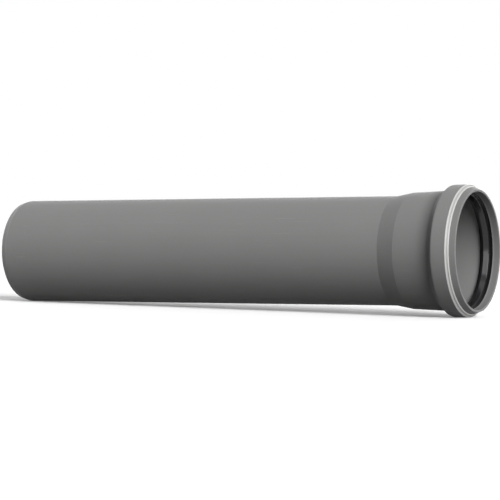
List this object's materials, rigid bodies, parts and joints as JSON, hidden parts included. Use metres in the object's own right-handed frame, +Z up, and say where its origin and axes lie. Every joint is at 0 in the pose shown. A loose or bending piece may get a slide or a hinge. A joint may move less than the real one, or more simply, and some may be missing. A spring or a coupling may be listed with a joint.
{
  "type": "socketed drain pipe",
  "caption": "Plain plastic drain pipe with a bevelled spigot end and a belled, beaded socket that holds a rubber lip seal under a light ring.",
  "frame": {"origin": "middle of the spigot end, on the pipe's axis", "axes": "+X along the pipe's axis, from the spigot end to the socket's mouth; +Z up as the pipe lies"},
  "size_m": [0.53, 0.1312, 0.1312],
  "materials": {
    "pipe_plastic": "mid-grey polypropylene, satin, faint drawing streaks",
    "seal_rubber": "black rubber, greased",
    "ring_plastic": "light grey plastic, matte"
  },
  "bodies": {
    "root": {"pipe": "pipe_plastic", "sealing_ring": "seal_rubber", "retaining_ring": "ring_plastic"}
  },
  "joints": []
}
